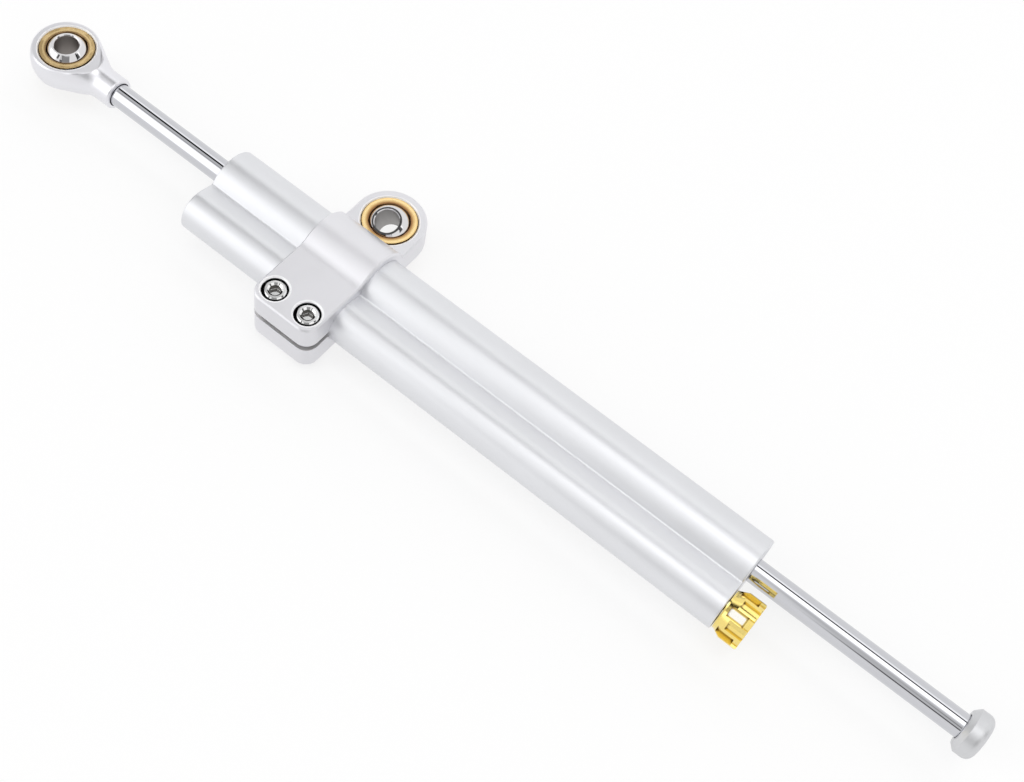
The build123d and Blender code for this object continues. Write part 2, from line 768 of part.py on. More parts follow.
def detent_spring():
    # One unbroken coil behind the ball.
    start = detent_ball_place() + detent_ball_radius + ring_gap + detent_spring_wire
    height = detent_spring_length - detent_ball_radius - detent_spring_wire
    pitch = height / detent_spring_turns
    line = Helix(pitch, height, detent_spring_radius)
    section = Plane(origin=line @ 0, z_dir=line % 0) * Circle(detent_spring_wire)
    coil = sweep(section, line)
    print("detent spring, gap between turns", round(pitch - 2 * detent_spring_wire, 2), "mm")
    return at_knob_end(side_y, detent_turn() * (Pos(start, 0, 0) * Rot(0, 90, 0) * coil))


def needle_valve():
    # Threaded shank, a guide with two flats, and a cone that closes the orifice.
    needle = turned((needle_start, 0), (needle_start, needle_radius),
                    (needle_guide_start, needle_radius), (needle_guide_start, needle_guide_radius),
                    (needle_guide_end, needle_guide_radius), (needle_guide_end, needle_cone_radius),
                    (needle_tip, needle_tip_radius), (needle_tip, 0))
    length = needle_tip - needle_start
    middle = (needle_tip + needle_start) / 2
    needle &= Pos(middle, 0, 0) * Box(length, needle_guide_flats, 2 * needle_guide_radius)
    return at_knob_end(side_y, needle)


def valve_seat():
    # A pressed ring whose pocket keeps the needle from turning.
    seat = bar(seat_start, seat_end, side_bore - seat_gap)
    pocket_radius = needle_guide_radius + running_gap
    pocket = bar(seat_start - overrun, seat_pocket_end, pocket_radius)
    middle = (seat_start + seat_pocket_end - overrun) / 2
    length = seat_pocket_end - seat_start + overrun
    flats = needle_guide_flats + running_gap + running_gap
    pocket &= Pos(middle, 0, 0) * Box(length, flats, 2 * pocket_radius)
    return at_knob_end(side_y, seat - pocket - bar(seat_start, seat_end + overrun, seat_orifice))


def reservoir_plug():
    start = guide_depth
    end = start + plug_length
    plug = bar(start, end, side_bore - seat_gap)
    plug -= bar(start - overrun, start + plug_dimple_depth, plug_dimple_radius)
    return at_eye_end(side_y, plug - side_groove((start + end) / 2))


def side_groove(middle):
    half = side_ring_width / 2
    return sleeve(middle - half, middle + half, side_bore - side_ring_groove, side_bore + overrun)


def reservoir_plug_ring():
    middle = guide_depth + plug_length / 2
    return at_eye_end(side_y, seal_ring(middle, side_bore - side_ring_groove, side_bore))


def floating_piston():
    # Takes up the oil's expansion, with its cup towards the gas behind the plug.
    half = floater_length / 2
    floater = bar(floater_depth - half, floater_depth + half, side_bore - running_gap)
    floater -= bar(floater_depth - half - overrun, floater_depth - half + floater_cup_depth,
                   side_bore - side_ring_groove - floater_cup_wall)
    return at_eye_end(side_y, floater - side_groove(floater_depth))


def floating_piston_ring():
    inner = side_bore - side_ring_groove
    return at_eye_end(side_y, seal_ring(floater_depth, inner, side_bore - running_gap))


def tilted(solid):
    return Rot(pivot_ball_tilt, 0, 0) * solid


pieces = {
    "damper_body": damper_body(),
    "piston_rod": piston_rod(),
    "piston": piston(),
    "piston_ring": piston_ring(),
    "piston_circlips": piston_circlips(),
    "eye_housing": eye_housing(),
    "eye_race": at_eye(bearing_race()),
    "eye_liner": at_eye(bearing_liner()),
    "eye_ball": at_eye(bearing_ball()),
    "end_button": end_button(),
    "clamp": clamp(),
    "clamp_screws": clamp_screws(),
    "pivot_race": bearing_race(),
    "pivot_liner": tilted(bearing_liner()),
    "pivot_ball": tilted(bearing_ball()),
    "adjuster_knob": adjuster_knob(),
    "knob_screw": knob_screw(),
    "adjuster_spindle": adjuster_spindle(),
    "spindle_ring": spindle_ring(),
    "valve_housing": valve_housing(),
    "valve_ring": valve_ring(),
    "detent_ball": detent_ball(),
    "detent_spring": detent_spring(),
    "needle_valve": needle_valve(),
    "valve_seat": valve_seat(),
    "reservoir_plug": reservoir_plug(),
    "reservoir_plug_ring": reservoir_plug_ring(),
    "reservoir_circlip": at_eye_end(side_y, side_circlip()),
    "floating_piston": floating_piston(),
    "floating_piston_ring": floating_piston_ring(),
}

for end_name, place in (("eye_end", at_eye_end), ("knob_end", at_knob_end)):
    pieces[end_name + "_guide"] = place(rod_y, rod_guide())
    pieces[end_name + "_wiper"] = place(rod_y, rod_wiper())
    pieces[end_name + "_seal"] = place(rod_y, rod_seal())
    pieces[end_name + "_bush"] = place(rod_y, guide_bush())
    pieces[end_name + "_ring"] = place(rod_y, guide_ring())
    pieces[end_name + "_circlip"] = place(rod_y, main_circlip())

os.makedirs("parts", exist_ok=True)
for name, shape in pieces.items():
    if isinstance(shape, list):
        shape = Compound(children=shape)
    export_step(shape, f"parts/{name}.step")
    print(name, round(shape.volume, 1))
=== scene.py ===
import bpy
import math
from mathutils import Matrix, Vector

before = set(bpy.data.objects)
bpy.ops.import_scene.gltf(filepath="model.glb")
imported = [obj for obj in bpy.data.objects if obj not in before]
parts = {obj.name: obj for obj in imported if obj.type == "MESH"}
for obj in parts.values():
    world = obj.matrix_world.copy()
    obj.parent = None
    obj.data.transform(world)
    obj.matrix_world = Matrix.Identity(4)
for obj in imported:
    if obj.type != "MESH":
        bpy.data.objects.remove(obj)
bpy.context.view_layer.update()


# node helpers, used by every material and by the room

def addNode(tree, kind, **settings):
    node = tree.nodes.new(kind)
    for key, value in settings.items():
        setattr(node, key, value)
    return node


def feed(tree, socket, value):
    # another node's output is linked, a number or colour is set on the socket itself
    if isinstance(value, bpy.types.NodeSocket):
        tree.links.new(value, socket)
    else:
        socket.default_value = value


def maths(tree, what, a, b=0.0):
    node = addNode(tree, "ShaderNodeMath", operation=what)
    feed(tree, node.inputs[0], a)
    feed(tree, node.inputs[1], b)
    return node.outputs[0]


def total(tree, *terms):
    result = terms[0]
    for term in terms[1:]:
        result = maths(tree, "ADD", result, term)
    return result


def product(tree, *factors):
    result = factors[0]
    for factor in factors[1:]:
        result = maths(tree, "MULTIPLY", result, factor)
    return result


def blend(tree, share, first, second):
    # the first pattern takes its share and the second the rest
    return total(tree, product(tree, first, share), product(tree, second, 1 - share))


def distance(tree, a, b):
    return maths(tree, "SQRT", total(tree, product(tree, a, a), product(tree, b, b)))


def gapTo(tree, value, place):
    return maths(tree, "ABSOLUTE", maths(tree, "SUBTRACT", value, place))


def between(tree, value, low, high, toLow=0.0, toHigh=1.0, smooth=False):
    # toLow at low and below it, toHigh at high and above it
    node = addNode(tree, "ShaderNodeMapRange", clamp=True)
    if smooth:
        node.interpolation_type = "SMOOTHSTEP"
    for index, number in enumerate((value, low, high, toLow, toHigh)):
        feed(tree, node.inputs[index], number)
    return node.outputs[0]


hairline = 0.00003               # how soft the edge of a small place is


def inside(tree, value, limit, soft=hairline):
    # 1 below a limit, 0 above it
    return between(tree, value, limit, limit + soft, 1.0, 0.0)


def beyond(tree, value, limit, soft=hairline):
    # 0 below a limit, 1 above it
    return between(tree, value, limit, limit + soft)


def edge(tree, value, place, soft, rising=True, smooth=True):
    # a step with its middle at a place, up from 0 to 1 or down from 1 to 0
    ends = (0.0, 1.0) if rising else (1.0, 0.0)
    return between(tree, value, place - soft, place + soft, *ends, smooth=smooth)


def within(tree, value, low, high, soft=0.00002, smooth=False):
    # 1 between two places, 0 outside them
    return product(tree, edge(tree, value, low, soft, True, smooth),
                   edge(tree, value, high, soft, False, smooth))


def split(tree, point):
    node = addNode(tree, "ShaderNodeSeparateXYZ")
    feed(tree, node.inputs[0], point)
    return node.outputs


def join(tree, *lengths):
    node = addNode(tree, "ShaderNodeCombineXYZ")
    for index, length in enumerate(lengths):
        feed(tree, node.inputs[index], length)
    return node.outputs[0]


def mapped(tree, point, socket, value):
    # the point moved, turned or stretched: the socket is Location, Rotation or Scale
    node = addNode(tree, "ShaderNodeMapping", vector_type="POINT")
    feed(tree, node.inputs["Vector"], point)
    feed(tree, node.inputs[socket], value)
    return node.outputs[0]


def objectPoint(tree):
    return addNode(tree, "ShaderNodeTexCoord").outputs["Object"]


def fromAxis(tree, centre, turn=(0.0, 0.0, 0.0), bothSides=False):
    # distance along a lathe's axis and distance from it; both sides: the same again at -X
    point = objectPoint(tree)
    if bothSides:
        x, y, z = split(tree, point)
        point = join(tree, maths(tree, "ABSOLUTE", x), y, z)
    moved = mapped(tree, point, "Location", tuple(-value for value in centre))
    x, y, along = split(tree, mapped(tree, moved, "Rotation", turn))
    return along, distance(tree, x, y)


def noise(tree, point, scale, detail=2.0, rough=0.5):
    node = addNode(tree, "ShaderNodeTexNoise")
    feed(tree, node.inputs["Vector"], point)
    feed(tree, node.inputs["Scale"], scale)
    feed(tree, node.inputs["Detail"], detail)
    feed(tree, node.inputs["Roughness"], rough)
    return node.outputs[0]


def mixColour(tree, amount, first, second):
    node = addNode(tree, "ShaderNodeMix", data_type="RGBA")
    feed(tree, node.inputs[0], amount)
    feed(tree, node.inputs[6], first)
    feed(tree, node.inputs[7], second)
    return node.outputs[2]


def tint(colour, factor):
    return tuple(min(value * factor, 1.0) for value in colour[:3]) + (1.0,)


def mottled(tree, pattern, colour, depth, low=0.35, high=0.65):
    # the colour a little darker and a little lighter, as the pattern goes
    amount = between(tree, pattern, low, high)
    return mixColour(tree, amount, tint(colour, 1 - depth), tint(colour, 1 + depth))


def roughened(tree, pattern, look, low=0.3, high=0.7):
    # the roughness spread to both sides of its middle, as the pattern goes
    return between(tree, pattern, low, high, look["roughness"] - look["roughSpread"],
                   look["roughness"] + look["roughSpread"])


def addBump(tree, shader, height, depth):
    node = addNode(tree, "ShaderNodeBump")
    feed(tree, node.inputs["Height"], height)
    feed(tree, node.inputs["Distance"], depth)
    feed(tree, node.inputs["Strength"], 1.0)
    feed(tree, shader.inputs["Normal"], node.outputs[0])


def startMaterial(name):
    material = bpy.data.materials.new(name)
    material.use_nodes = True
    return material, material.node_tree, material.node_tree.nodes["Principled BSDF"]


# finishes

def applyPlaces(tree, shader, colour, rough, places):
    # each place has a mask and a colour, and where it differs a roughness
    for mask, other, *finish in places:
        colour = mixColour(tree, mask, colour, other)
        if finish:
            rough = between(tree, mask, 0.0, 1.0, rough, finish[0])
    feed(tree, shader.inputs["Base Color"], colour)
    feed(tree, shader.inputs["Roughness"], rough)


def satinAnodised(name, look, places=None):
    # bead blasted and anodised aluminium: a fine grain, soft clouds in the sheen, faint drawing lines
    material, tree, shader = startMaterial(name)
    point = objectPoint(tree)
    grain = noise(tree, point, look["grainScale"], detail=3.0, rough=0.6)
    cloud = noise(tree, point, look["cloudScale"], detail=4.0, rough=0.55)
    lines = noise(tree, mapped(tree, point, "Scale", look["drawn"]), look["lineScale"])
    colour = mottled(tree, cloud, look["colour"], look["cloudDepth"])
    rough = roughened(tree, blend(tree, look["grainInSheen"], grain, cloud), look)
    applyPlaces(tree, shader, colour, rough, places(tree, look) if places else [])
    feed(tree, shader.inputs["Metallic"], 1.0)
    addBump(tree, shader, blend(tree, look["grainInRelief"], grain, lines), look["relief"])
    return material


def turnedMetal(name, look, places=None, ringsInWear=0.4):
    # lathe turned metal: fine rings round its axis, smudges in the polish
    material, tree, shader = startMaterial(name)
    along, away = fromAxis(tree, look["centre"], look["turn"], look.get("bothSides", False))
    rings = noise(tree, join(tree, along, away), look["ringScale"])
    smudge = noise(tree, objectPoint(tree), look["smudgeScale"], detail=4.0, rough=0.6)
    colour = mottled(tree, smudge, look["colour"], look["smudgeDepth"])
    if "streaks" in look:
        streak = product(tree, between(tree, rings, low=0.45, high=0.62), look["streaks"],
                         between(tree, smudge, low=0.4, high=0.6))
        colour = mixColour(tree, streak, colour, look["streak"])
    rough = roughened(tree, blend(tree, ringsInWear, rings, smudge), look)
    applyPlaces(tree, shader, colour, rough, places(tree, look) if places else [])
    feed(tree, shader.inputs["Metallic"], 1.0)
    addBump(tree, shader, rings, look["relief"])
    if "coat" in look:
        feed(tree, shader.inputs["Coat Weight"], look["coat"])
        feed(tree, shader.inputs["Coat Roughness"], look["coatRoughness"])
    return material


def moulded(name, look):
    # rubber and plastic: a fine matt skin
    material, tree, shader = startMaterial(name)
    point = objectPoint(tree)
    skin = noise(tree, point, look["skinScale"], detail=4.0, rough=0.6)
    patch = noise(tree, point, look["patchScale"], detail=3.0)
    applyPlaces(tree, shader, mottled(tree, patch, look["colour"], look["patchDepth"]),
                roughened(tree, skin, look), [])
    addBump(tree, shader, skin, look["relief"])
    return material


# lathe axes: the rod and the side tube lie on X, the bearings stand on Z, the pivot ball leans
rodAxis = {"centre": (0.0, -0.0201, 0.0), "turn": (0.0, math.radians(-90), 0.0)}
sideAxis = {"centre": (0.0, -0.0360, 0.0), "turn": (0.0, math.radians(-90), 0.0)}
eyeAxis = {"centre": (-0.1236, -0.0201, 0.0), "turn": (0.0, 0.0, 0.0)}
pivotAxis = {"centre": (0.0, 0.0, 0.0), "turn": (0.0, 0.0, 0.0)}
pivotBallAxis = {"centre": (0.0, 0.0, 0.0), "turn": (math.radians(-15), 0.0, 0.0)}
screwAxis = {"centre": (0.0066, -0.0470, 0.0), "turn": (0.0, 0.0, 0.0), "bothSides": True}


# body, clamp, rod eye and end button: satin silver

satinLook = {"roughSpread": 0.03, "grainScale": 7000, "cloudDepth": 0.012, "lineScale": 2600,
             "drawn": (1, 0.03, 1), "relief": 0.0000012, "grainInSheen": 0.35, "grainInRelief": 0.7}
# the near white of the cut edges round the seats is partly bare cut metal and partly a painted highlight
seatLook = {"seatRadius": 0.00932, "seatEdge": 0.0100, "seatLow": 0.0039, "seatHigh": 0.00453,
            "cutEdgeHighlight": (0.97, 0.97, 0.98, 1.0), "cutRoughness": 0.6}
bodyLook = {**satinLook, "colour": (0.77, 0.777, 0.80), "roughness": 0.42, "cloudScale": 55,
            "lineScale": 3200, "drawn": (0.02, 1, 1)}
clampLook = {
    **satinLook, **seatLook, "colour": (0.80, 0.797, 0.825), "roughness": 0.47, "cloudScale": 80,
    # the dark colour is painted shade in the bores, the screw holes and where the heads stand off their
    # walls
    "paintedShade": (0.015, 0.015, 0.016, 1.0), "seatCentre": pivotAxis["centre"],
    # the saw cut's near white is bare sawn metal, painted lighter against the shade in the slit
    "sawnAndPaintedLight": (0.95, 0.94, 0.95, 1.0), "cutHalf": 0.00123, "cutEnd": -0.037, "cutSoft": 0.0002,
    "screwCentre": screwAxis["centre"], "holeRadius": 0.00428, "holeEdge": 0.0050,
    "holeTop": 0.0091, "holeSoft": 0.00005, "rimHeight": 0.0094, "rimSoft": 0.0001,
    "shadeCentre": (0.0066, -0.04732, 0.0), "shadeRadius": 0.00422, "shadeHeight": 0.0090,
}
eyeLook = {**satinLook, **seatLook, "colour": (0.82, 0.818, 0.85), "roughness": 0.36, "cloudScale": 110,
           # the dark colour is painted shade on the wall of the bearing bore
           "paintedShade": (0.02, 0.02, 0.02, 1.0), "seatCentre": eyeAxis["centre"]}
buttonLook = {**satinLook, "colour": (0.68, 0.685, 0.70), "roughness": 0.46, "grainScale": 8000,
              "cloudScale": 120, "cloudDepth": 0.015, "relief": 0.000001}


def bearingSeat(tree, look):
    # round a race: painted shade on the bore's wall, and its cut edge painted near white, partly bare cut
    # metal and partly a painted highlight
    height, away = fromAxis(tree, look["seatCentre"])
    height = maths(tree, "ABSOLUTE", height)
    wall = inside(tree, away, look["seatRadius"])
    cut = product(tree, within(tree, away, look["seatRadius"], look["seatEdge"]),
                  within(tree, height, look["seatLow"], look["seatHigh"]))
    return [(wall, look["paintedShade"]), (cut, look["cutEdgeHighlight"], look["cutRoughness"])]


def clampPlaces(tree, look):
    # the saw cut between the jaws, bare sawn metal painted lighter against its shade; painted shade in
    # the holes round the screw heads; and their cut edges painted near white, partly bare cut metal and
    # partly a painted highlight
    x, y, z = split(tree, objectPoint(tree))
    # painted light on the saw cut's faces
    sawnAndPaintedLight = product(tree, inside(tree, maths(tree, "ABSOLUTE", z), look["cutHalf"]),
                   inside(tree, y, look["cutEnd"] - look["cutSoft"], look["cutSoft"]))
    height, away = fromAxis(tree, look["screwCentre"], bothSides=True)
    # painted shade on the walls of the screw holes
    wall = product(tree, inside(tree, away, look["holeRadius"]),
                   inside(tree, height, look["holeTop"], look["holeSoft"]))
    # cut edges painted near white: partly bare cut metal, partly a painted highlight
    cut = product(tree, within(tree, away, look["holeRadius"], look["holeEdge"]),
                  beyond(tree, height, look["rimHeight"], look["rimSoft"]))
    # painted shade where a head stands off its wall
    height, away = fromAxis(tree, look["shadeCentre"], bothSides=True)
    shade = product(tree, inside(tree, away, look["shadeRadius"]),
                    beyond(tree, height, look["shadeHeight"], look["rimSoft"]))
    return bearingSeat(tree, look) + [
        (sawnAndPaintedLight, look["sawnAndPaintedLight"]), (cut, look["cutEdgeHighlight"], look["cutRoughness"]),
        (shade, look["paintedShade"]), (wall, look["paintedShade"])]


satinBody = satinAnodised("satinSilverBody", bodyLook)
satinClamp = satinAnodised("satinSilverClamp", clampLook, clampPlaces)
satinEye = satinAnodised("satinSilverEye", eyeLook, bearingSeat)
satinButton = satinAnodised("satinButton", buttonLook)


# adjuster knob: bright gold

goldLook = {
    "colour": (0.91, 0.715, 0.215), "roughness": 0.17, "roughSpread": 0.04, "ringScale": 4200,
    "smudgeScale": 160, "smudgeDepth": 0.03, "relief": 0.000001, "coat": 0.6, "coatRoughness": 0.08,
    # the pale colour on the slot floors is a painted highlight
    "cut": (0.95, 0.93, 0.86, 1.0), "slotFloor": 0.0061, "slotFloorEdge": 0.0063,
    # the dark brown in the inner corners is painted shade, placed by occlusion
    "slotStart": 0.1604, "slotEnd": 0.1657, "creviceShade": (0.20, 0.11, 0.015, 1.0),
    "creviceReach": 0.001, "creviceLow": 0.45, "creviceHigh": 0.85, "creviceSamples": 12, **sideAxis,
}


def knobPlaces(tree, look):
    # painted highlight on the floors of the deep slots, and painted shade in the inner corners
    along, away = fromAxis(tree, look["centre"], look["turn"])
    floors = product(tree, within(tree, away, look["slotFloor"], look["slotFloorEdge"]),
                     within(tree, along, look["slotStart"], look["slotEnd"]))
    creviceShade = addNode(tree, "ShaderNodeAmbientOcclusion", samples=look["creviceSamples"])
    feed(tree, creviceShade.inputs["Distance"], look["creviceReach"])
    corners = between(tree, creviceShade.outputs["AO"], look["creviceLow"], look["creviceHigh"], 1.0, 0.0)
    return [(floors, look["cut"]), (corners, look["creviceShade"])]


goldKnob = turnedMetal("brightGoldKnob", goldLook, knobPlaces)


# rod and bearing balls: hard chrome and polished steel

rodLook = {"colour": (0.60, 0.605, 0.635), "roughness": 0.05, "roughSpread": 0.02, "ringScale": 5200,
           "smudgeScale": 45, "smudgeDepth": 0.01, "relief": 0.00000025, **rodAxis}
eyeBallLook = {"colour": (0.72, 0.71, 0.72), "roughness": 0.05, "roughSpread": 0.02, "ringScale": 5200,
               "smudgeScale": 160, "smudgeDepth": 0.015, "relief": 0.0000003,
               # the bore's colour is its ground finish, painted darker as shade
               "groundAndShaded": (0.31, 0.285, 0.27, 1.0), "groundRoughness": 0.5,
               "boreRadius": 0.00408, "boreSoft": 0.0000816, **eyeAxis}
pivotBallLook = {**eyeBallLook, "groundAndShaded": (0.40, 0.39, 0.385, 1.0), **pivotBallAxis}


def ballPlaces(tree, look):
    # the ball's bore is ground and not polished, and painted darker as shade
    along, away = fromAxis(tree, look["centre"], look["turn"])
    return [(inside(tree, away, look["boreRadius"], look["boreSoft"]), look["groundAndShaded"],
             look["groundRoughness"])]


chromeRod = turnedMetal("chromedRod", rodLook)
eyeBallSteel = turnedMetal("polishedEyeBall", eyeBallLook, ballPlaces)
pivotBallSteel = turnedMetal("polishedPivotBall", pivotBallLook, ballPlaces)


# bearing races: bronze, with a painted glint ring and painted shade

eyeRaceLook = {
    "colour": (0.56, 0.40, 0.19), "roughness": 0.24, "roughSpread": 0.06, "ringScale": 1500,
    "smudgeScale": 260, "smudgeDepth": 0.08, "relief": 0.000004,
    "streaks": 0.7, "streak": (0.95, 0.72, 0.38, 1.0),
    # the dark colour is painted shade in the groove outside the rim
    "paintedShade": (0.02, 0.012, 0.008, 1.0), "grooveRadius": 0.009035,
    # the dark brown at the lip is painted shade where the race meets the ball
    "lip": (0.28, 0.17, 0.08, 1.0), "lipRadius": 0.0069, "lipSoft": 0.0006,
    # a painted glint ring near the lip
    "glintFrom": 0.0076, "glintTo": 0.0079, "glintSoft": 0.00025, **eyeAxis,
}
pivotRaceLook = {**eyeRaceLook, "colour": (0.76, 0.53, 0.23), "streak": (0.97, 0.76, 0.40, 1.0),
                 "lip": (0.30, 0.15, 0.06, 1.0), "lipSoft": 0.0013,
                 "glintFrom": 0.0083, "glintTo": 0.0086, **pivotAxis}


def racePlaces(tree, look):
    # painted shade in the groove outside the race's rim, a painted glint ring, and painted shade on the
    # lip at the ball
    along, away = fromAxis(tree, look["centre"], look["turn"])
    groove = beyond(tree, away, look["grooveRadius"])
    glintRing = within(tree, away, look["glintFrom"], look["glintTo"], look["glintSoft"])
    lipEnd = look["lipRadius"] + look["lipSoft"]
    lip = between(tree, away, look["lipRadius"], lipEnd, 1.0, 0.0, smooth=True)
    return [(glintRing, look["streak"]), (lip, look["lip"]), (groove, look["paintedShade"])]


eyeBronze = turnedMetal("eyeBronze", eyeRaceLook, racePlaces)
pivotBronze = turnedMetal("pivotBronze", pivotRaceLook, racePlaces)
rodBronze = turnedMetal("bushBronze", {**eyeRaceLook, **rodAxis})


# screws and the valve's steel pieces

screwLook = {
    "colour": (0.90, 0.90, 0.90), "roughness": 0.09, "roughSpread": 0.03, "ringScale": 3000,
    "smudgeScale": 260, "smudgeDepth": 0.02, "relief": 0.0000008,
    # the near black on the socket walls is painted shade
    "socket": (0.06, 0.055, 0.05, 1.0), "socketRoughness": 0.3, "socketRadius": 0.0021,
    "socketFloor": 0.00745, "socketTop": 0.0092,
    "blank": (0.92, 0.92, 0.92, 1.0), "blankRoughness": 0.15, "blankLow": 0.0072, **screwAxis,
}


def screwPlaces(tree, look):
    # painted shade on the walls of the hexagon sockets, and their blank floors
    height, away = fromAxis(tree, look["centre"], look["turn"], look["bothSides"])
    hole = inside(tree, away, look["socketRadius"])
    walls = product(tree, hole, within(tree, height, look["socketFloor"], look["socketTop"]))
    floors = product(tree, hole, within(tree, height, look["blankLow"], look["socketFloor"]))
    return [(walls, look["socket"], look["socketRoughness"]),
            (floors, look["blank"], look["blankRoughness"])]


screwSteel = turnedMetal("polishedScrews", screwLook, screwPlaces)
valveSteel = turnedMetal("valveSteel", {**screwLook, **sideAxis, "bothSides": False})


# pieces inside the tubes

bareLook = {"colour": (0.74, 0.74, 0.75), "roughness": 0.25, "roughSpread": 0.05, "ringScale": 4500,
            "smudgeScale": 140, "smudgeDepth": 0.02, "relief": 0.000002, **rodAxis}
brassLook = {**bareLook, "colour": (0.75, 0.58, 0.25), "roughness": 0.24, "smudgeDepth": 0.04, **sideAxis}
clipLook = {"colour": (0.10, 0.10, 0.11), "roughness": 0.42, "roughSpread": 0.08, "ringScale": 2500,
            "smudgeScale": 400, "smudgeDepth": 0.15, "relief": 0.000003, **rodAxis}
linerLook = {"colour": (0.17, 0.11, 0.06), "roughness": 0.6, "roughSpread": 0.08, "skinScale": 9000,
             "patchScale": 700, "patchDepth": 0.15, "relief": 0.000004}
rubberLook = {"colour": (0.018, 0.018, 0.02), "roughness": 0.55, "roughSpread": 0.08, "skinScale": 6000,
              "patchScale": 500, "patchDepth": 0.15, "relief": 0.000005}

rodBare = turnedMetal("turnedAluminiumOnRod", bareLook)
sideBare = turnedMetal("turnedAluminiumInSideTube", {**bareLook, **sideAxis})
valveBrass = turnedMetal("valveBrass", brassLook)
blackClip = turnedMetal("blackSpringSteel", clipLook)
liner = moulded("brownLiner", linerLook)
rubber = moulded("blackRubber", rubberLook)


# each part gets its finish, by its name or by how its name ends
finishes = {
    "damper_body": satinBody, "clamp": satinClamp, "eye_housing": satinEye, "end_button": satinButton,
    "adjuster_knob": goldKnob, "piston_rod": chromeRod,
    "eye_ball": eyeBallSteel, "pivot_ball": pivotBallSteel,
    "eye_race": eyeBronze, "pivot_race": pivotBronze, "eye_liner": liner, "pivot_liner": liner,
    "clamp_screws": screwSteel, "knob_screw": valveSteel, "adjuster_spindle": valveSteel,
    "needle_valve": valveSteel, "detent_ball": valveSteel, "detent_spring": blackClip,
    "valve_housing": valveBrass, "valve_seat": valveBrass,
    "piston": rodBare, "reservoir_plug": sideBare, "floating_piston": sideBare,
}
byEnding = {"_guide": rodBare, "_bush": rodBronze, "_circlip": blackClip, "_circlips": blackClip,
            "_ring": rubber, "_seal": rubber, "_wiper": rubber}
for name, part in parts.items():
    finish = finishes.get(name)
    if finish is None:
        finish = [byEnding[ending] for ending in byEnding if name.endswith(ending)][0]
    for slot in part.material_slots:
        slot.material = finish
print("finishes given to", len(parts), "parts")


# light tent: a white room with a few brighter and darker places, seen by the direction of a ray

tent = {
    "white": 1.0,                # the plain white room
    "clear": 0.25,               # up to this height the room is plain
    "clearSoft": 0.1,
    "overhead": {"centre": (0.05, -0.02), "full": 0.15, "gone": 0.41, "extra": 1.2},
    "window": {"right": -0.46, "back": -0.44, "low": 0.25, "soft": 0.12, "extra": 0.9},
    "flank": {"start": 0.12, "end": 0.36, "soft": 0.03, "extra": 0.45},
    "seam": {"slope": 0.337, "half": 0.10, "soft": 0.03, "wider": 0.6, "level": 0.0},
    "corner": {"right": -0.42, "front": -0.26, "back": 0.42, "soft": 0.08, "level": 0.72},
    "cornerLine": {"place": -0.17, "half": 0.03, "soft": 0.05, "level": 0.35},
    "post": {"place": -0.335, "half": 0.03, "soft": 0.015, "front": -0.12, "back": 0.10, "level": 0.1},
    "ribs": (                    # upright dark bars: azimuth, half width, lowest, highest, level
        (-168, 0.08, 0.38, 0.66, 0.12), (-97, 0.26, 0.30, 0.50, 0.08),
        (72, 0.14, 0.30, 0.62, 0.10), (146, 0.31, 0.30, 0.74, 0.30)),
    "ribSoft": 0.02,
    "ribEndSoft": 0.04,
    "doorway": {"azimuth": 171, "half": 0.11, "soft": 0.04},
    "doorPanes": (               # lowest, highest, softness, level
        (0.45, 0.88, 0.04, 0.72), (0.27, 0.44, 0.02, 0.1)),
}


def upright(tree, x, y, azimuth, half, soft, facing=0.05):
    # an upright bar of the tent, at an azimuth counted from +Y towards +X
    turn = math.radians(azimuth)
    across = maths(tree, "SUBTRACT", product(tree, x, math.cos(turn)), product(tree, y, math.sin(turn)))
    along = total(tree, product(tree, x, math.sin(turn)), product(tree, y, math.cos(turn)))
    near = edge(tree, maths(tree, "ABSOLUTE", across), half, soft, rising=False)
    return product(tree, near, between(tree, along, 0.0, facing))


def brightPlaces(tree, look, x, y, z, above, pastSeam):
    lamp = look["overhead"]
    centreX, centreY = lamp["centre"]
    away = distance(tree, maths(tree, "SUBTRACT", x, centreX), maths(tree, "SUBTRACT", y, centreY))
    overhead = between(tree, away, lamp["full"], lamp["gone"], lamp["extra"], 0.0, smooth=True)
    pane = look["window"]
    window = product(tree, edge(tree, x, pane["right"] + pane["soft"], pane["soft"], rising=False),
                     edge(tree, y, pane["back"] + pane["soft"], pane["soft"], rising=False),
                     edge(tree, z, pane["low"] - pane["soft"], pane["soft"]), pane["extra"])
    flank = look["flank"]
    onFlank = within(tree, pastSeam, flank["start"], flank["end"], flank["soft"], smooth=True)
    return [product(tree, overhead, above), window, product(tree, onFlank, above, flank["extra"])]


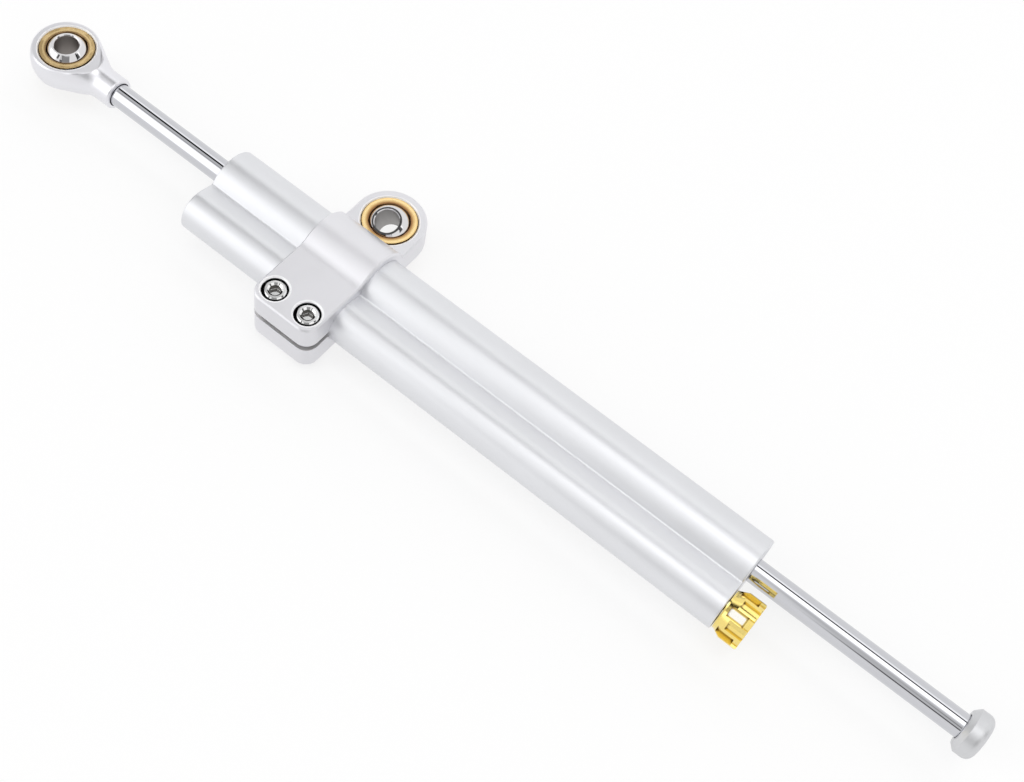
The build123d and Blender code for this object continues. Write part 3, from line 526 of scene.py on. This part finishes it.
def darkPlaces(tree, look, x, y, z, above, pastSeam):
    # each is a mask and the level to which it dims the light behind it
    seam = look["seam"]
    widening = maths(tree, "SUBTRACT", 1.0, product(tree, x, seam["wider"]))
    fromSeam = maths(tree, "DIVIDE", maths(tree, "ABSOLUTE", pastSeam), widening)
    onSeam = edge(tree, fromSeam, seam["half"], seam["soft"], rising=False)
    places = [(product(tree, onSeam, above), seam["level"])]
    corner = look["corner"]
    beside = edge(tree, x, corner["right"] + corner["soft"], corner["soft"], rising=False)
    inCorner = product(tree, beside, above)
    depth = within(tree, y, corner["front"], corner["back"], corner["soft"], smooth=True)
    places.append((product(tree, inCorner, depth), corner["level"]))
    line = look["cornerLine"]
    onLine = edge(tree, gapTo(tree, y, line["place"]), line["half"], line["soft"], rising=False)
    places.append((product(tree, inCorner, onLine), line["level"]))
    post = look["post"]
    onPost = edge(tree, gapTo(tree, x, post["place"]), post["half"], post["soft"], rising=False)
    depth = within(tree, y, post["front"], post["back"], post["soft"], smooth=True)
    places.append((product(tree, onPost, above, depth), post["level"]))
    for azimuth, half, low, high, level in look["ribs"]:
        bar = upright(tree, x, y, azimuth, half, look["ribSoft"])
        height = within(tree, z, low, high, look["ribEndSoft"], smooth=True)
        places.append((product(tree, bar, height), level))
    door = look["doorway"]
    opening = upright(tree, x, y, door["azimuth"], door["half"], door["soft"])
    for low, high, soft, level in look["doorPanes"]:
        height = within(tree, z, low, high, soft, smooth=True)
        places.append((product(tree, opening, height), level))
    return places


def buildTent(look):
    world = bpy.data.worlds.new("lightTent")
    world.use_nodes = True
    bpy.context.scene.world = world
    tree = world.node_tree
    x, y, z = split(tree, addNode(tree, "ShaderNodeTexCoord").outputs["Generated"])
    # nothing dark stands below this height, so every view has a plain white background
    above = beyond(tree, z, look["clear"], look["clearSoft"])
    pastSeam = maths(tree, "SUBTRACT", y, product(tree, z, look["seam"]["slope"]))
    overhead, window, flank = brightPlaces(tree, look, x, y, z, above, pastSeam)
    light = total(tree, overhead, window, look["white"], flank)
    for mask, level in darkPlaces(tree, look, x, y, z, above, pastSeam):
        light = product(tree, light, between(tree, mask, 0.0, 1.0, 1.0, level))
    back = tree.nodes["Background"]
    feed(tree, back.inputs["Color"], (1.0, 1.0, 1.0, 1.0))
    feed(tree, back.inputs["Strength"], light)


# floor

paper = {
    "colour": (1.0, 1.0, 1.0, 1.0),
    "depth": 0.005,
    "roughness": 0.9,
    "scale": 900,
    "plain": 0.75,               # how much of the floor shows as plain white
    "centre": (0.05, -0.02, -0.01305),
    "size": 6.0,
}


def buildFloor(look):
    bpy.ops.object.select_all(action="DESELECT")
    bpy.ops.mesh.primitive_plane_add(size=look["size"], location=look["centre"])
    floor = bpy.context.object
    floor.name = "paleFloor"
    bpy.ops.object.transform_apply(location=True, rotation=True, scale=True)
    material, tree, shader = startMaterial("palePaper")
    fibres = noise(tree, objectPoint(tree), look["scale"], detail=3.0)
    feed(tree, shader.inputs["Base Color"],
         mottled(tree, fibres, look["colour"], look["depth"], low=0.0, high=1.0))
    feed(tree, shader.inputs["Roughness"], look["roughness"])
    feed(tree, shader.inputs["Specular IOR Level"], 0.0)
    # the camera, metal and glass see part of the paper as plain white, the rest keeps the shadow
    ray = addNode(tree, "ShaderNodeLightPath")
    seen = maths(tree, "MAXIMUM", ray.outputs["Is Camera Ray"], ray.outputs["Is Glossy Ray"])
    seen = maths(tree, "MAXIMUM", seen, ray.outputs["Is Transmission Ray"])
    blendShader = addNode(tree, "ShaderNodeMixShader")
    feed(tree, blendShader.inputs[0], product(tree, seen, look["plain"]))
    feed(tree, blendShader.inputs[1], shader.outputs[0])
    feed(tree, blendShader.inputs[2], addNode(tree, "ShaderNodeEmission").outputs[0])
    feed(tree, tree.nodes["Material Output"].inputs["Surface"], blendShader.outputs[0])
    floor.data.materials.append(material)


buildTent(tent)
buildFloor(paper)
print("light tent and floor ready")


# camera, fitted to the tubes, both bearings and the knob

view = {
    "lens": 54.967,
    "sensor": 36.0,
    "nearest": 0.01,
    "farthest": 50.0,
    "place": (0.171183, -0.244542, 0.415242),
    "looksAt": (0.067242, -0.020707, 0.0),
    "lean": -15.0786,            # degrees
}


def addCamera(look):
    data = bpy.data.cameras.new("photoCamera")
    camera = bpy.data.objects.new("photoCamera", data)
    bpy.context.collection.objects.link(camera)
    data.sensor_width = look["sensor"]
    data.sensor_fit = "HORIZONTAL"
    data.lens = look["lens"]
    data.clip_start = look["nearest"]
    data.clip_end = look["farthest"]
    place = Vector(look["place"])
    ahead = (Vector(look["looksAt"]) - place).normalized()
    side = ahead.cross(Vector((0, 0, 1))).normalized()
    up = side.cross(ahead)
    lean = math.radians(look["lean"])
    leanedUp = up * math.cos(lean) + side * math.sin(lean)
    leanedSide = side * math.cos(lean) - up * math.sin(lean)
    turn = Matrix((leanedSide, leanedUp, -ahead)).transposed().to_4x4()
    camera.matrix_world = Matrix.Translation(place) @ turn
    bpy.context.scene.camera = camera


addCamera(view)
bpy.context.scene.view_settings.view_transform = "Standard"
print("camera set")

print("done")
